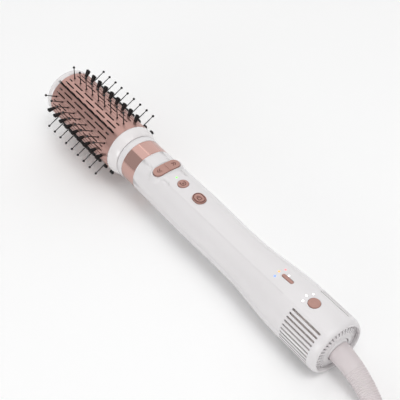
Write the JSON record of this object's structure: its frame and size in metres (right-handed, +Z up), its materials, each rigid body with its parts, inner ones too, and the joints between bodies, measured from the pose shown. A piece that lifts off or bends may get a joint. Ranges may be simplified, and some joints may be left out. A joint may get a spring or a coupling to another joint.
{
  "type": "hot air styler",
  "caption": "Hot air styler with a motor-turned round brush of tufts and ball-tipped pins, rocker, push buttons, rear air intake and a swivelling mains lead.",
  "frame": {"origin": "middle of the styler's footprint on the table, the lead left out of account", "axes": "+X from the air intake towards the brush tip, +Z up out of the table and, within three degrees, out of the control panel, +Y to the left of the panel seen from the intake end"},
  "size_m": [0.5693, 0.1133, 0.0817],
  "materials": {
    "shell_white": "satin",
    "gloss_white": "high gloss",
    "rose_metal": "rose gold, satin metallic",
    "rose_plastic": "rose gold metallic lacquer",
    "dark_plastic": "matte",
    "bristle": "nylon, satin",
    "steel": "brushed",
    "bearing": "sintered bronze",
    "ivory": "acetal, satin",
    "mica": "mica sheet",
    "wire": "resistance wire",
    "board": "solder mask",
    "lens_green": "clear tinted",
    "lens_blue": "clear tinted",
    "lens_amber": "clear tinted",
    "lens_red": "clear tinted",
    "lens_white": "diffusing",
    "lead": "flexible PVC, satin",
    "tie": "satin",
    "plug_metal": "nickel plated"
  },
  "bodies": {
    "handle": {"upper_shell": "shell_white", "lower_shell": "shell_white", "rear_grille": "shell_white", "air_filter": "dark_plastic", "swivel_socket": "shell_white", "trim_band": "rose_metal", "nose_socket": "dark_plastic", "nose_ring": "shell_white", "nose_bearing": "bearing", "air_tube": "steel", "gear_motor": "steel", "fan_housing": "dark_plastic", "fan_motor": "steel", "heater_sleeve": "mica", "heater_frame": "mica", "heater_wire": "wire", "thermostat": "steel", "front_board": "board", "rear_board": "board", "tact_switches": "dark_plastic", "case_screws": "steel", "rocker_pin": "steel", "green_lamp": "lens_green", "blue_lamp": "lens_blue", "amber_lamp": "lens_amber", "red_lamp": "lens_red", "speed_lamps": "lens_white", "cord_guard": "lead", "cord_lead": "lead", "cord_coil": "lead", "cord_tail": "lead", "coil_tie": "tie", "plug_body": "lead", "plug_pins": "plug_metal"},
    "brush": {"drive_sleeve": "ivory", "collar": "gloss_white", "barrel": "rose_metal", "tip_cap": "gloss_white", "brush_core": "dark_plastic", "tuft_strip_1": "bristle", "tuft_strip_2": "bristle", "tuft_strip_3": "bristle", "tuft_strip_4": "bristle", "tuft_strip_5": "bristle", "tuft_strip_6": "bristle", "pin_strip_1": "bristle", "pin_strip_2": "bristle", "pin_strip_3": "bristle", "pin_strip_4": "bristle", "pin_strip_5": "bristle", "pin_strip_6": "bristle"},
    "pinion": {"drive_pinion": "steel"},
    "fan": {"fan_shaft": "steel", "fan_impeller": "dark_plastic"},
    "swivel": {"swivel_ball": "shell_white"},
    "rocker": {"rocker_button": "rose_plastic"},
    "round_key": {"round_button": "rose_plastic"},
    "oval_key": {"oval_button": "rose_plastic"},
    "heat_key": {"heat_button": "rose_plastic"},
    "power_key": {"power_button": "rose_plastic"}
  },
  "joints": [
    {"name": "brush_spin", "type": "hinge", "parent": "handle", "child": "brush", "pos_m": [0.10928, 0, 0.03954], "axis": [0.9989, 0, 0.0469], "continuous": true},
    {"name": "pinion_spin", "type": "hinge", "parent": "handle", "child": "pinion", "pos_m": [0.05775, 0, 0.02831], "axis": [0.9989, 0, 0.0469], "continuous": true},
    {"name": "fan_spin", "type": "hinge", "parent": "handle", "child": "fan", "pos_m": [-0.13844, 0, 0.0279], "axis": [0.9989, 0, 0.0469], "continuous": true},
    {"name": "swivel_turn", "type": "hinge", "parent": "handle", "child": "swivel", "pos_m": [-0.18389, 0, 0.02576], "axis": [-0.9857, 0, -0.1683], "continuous": true},
    {"name": "rocker_tilt", "type": "hinge", "parent": "handle", "child": "rocker", "pos_m": [0.02607, 0, 0.05285], "axis": [0.9989, 0, 0.0469], "range_deg": [-3, 3], "stiffness_Nm_per_rad": 0.3},
    {"name": "round_press", "type": "slide", "parent": "handle", "child": "round_key", "axis": [0.0469, 0, -0.9989], "range_m": [0, 0.0008], "stiffness_N_per_m": 800, "springref_m": -0.001},
    {"name": "oval_press", "type": "slide", "parent": "handle", "child": "oval_key", "axis": [0.0469, 0, -0.9989], "range_m": [0, 0.0008], "stiffness_N_per_m": 800, "springref_m": -0.001},
    {"name": "heat_press", "type": "slide", "parent": "handle", "child": "heat_key", "axis": [0.0469, 0, -0.9989], "range_m": [0, 0.0008], "stiffness_N_per_m": 800, "springref_m": -0.001},
    {"name": "power_press", "type": "slide", "parent": "handle", "child": "power_key", "axis": [0.0469, 0, -0.9989], "range_m": [0, 0.0008], "stiffness_N_per_m": 800, "springref_m": -0.001}
  ],
  "couplings": [
    {"joint": "pinion_spin", "follows": "brush_spin", "ratio": 2.8333}
  ]
}
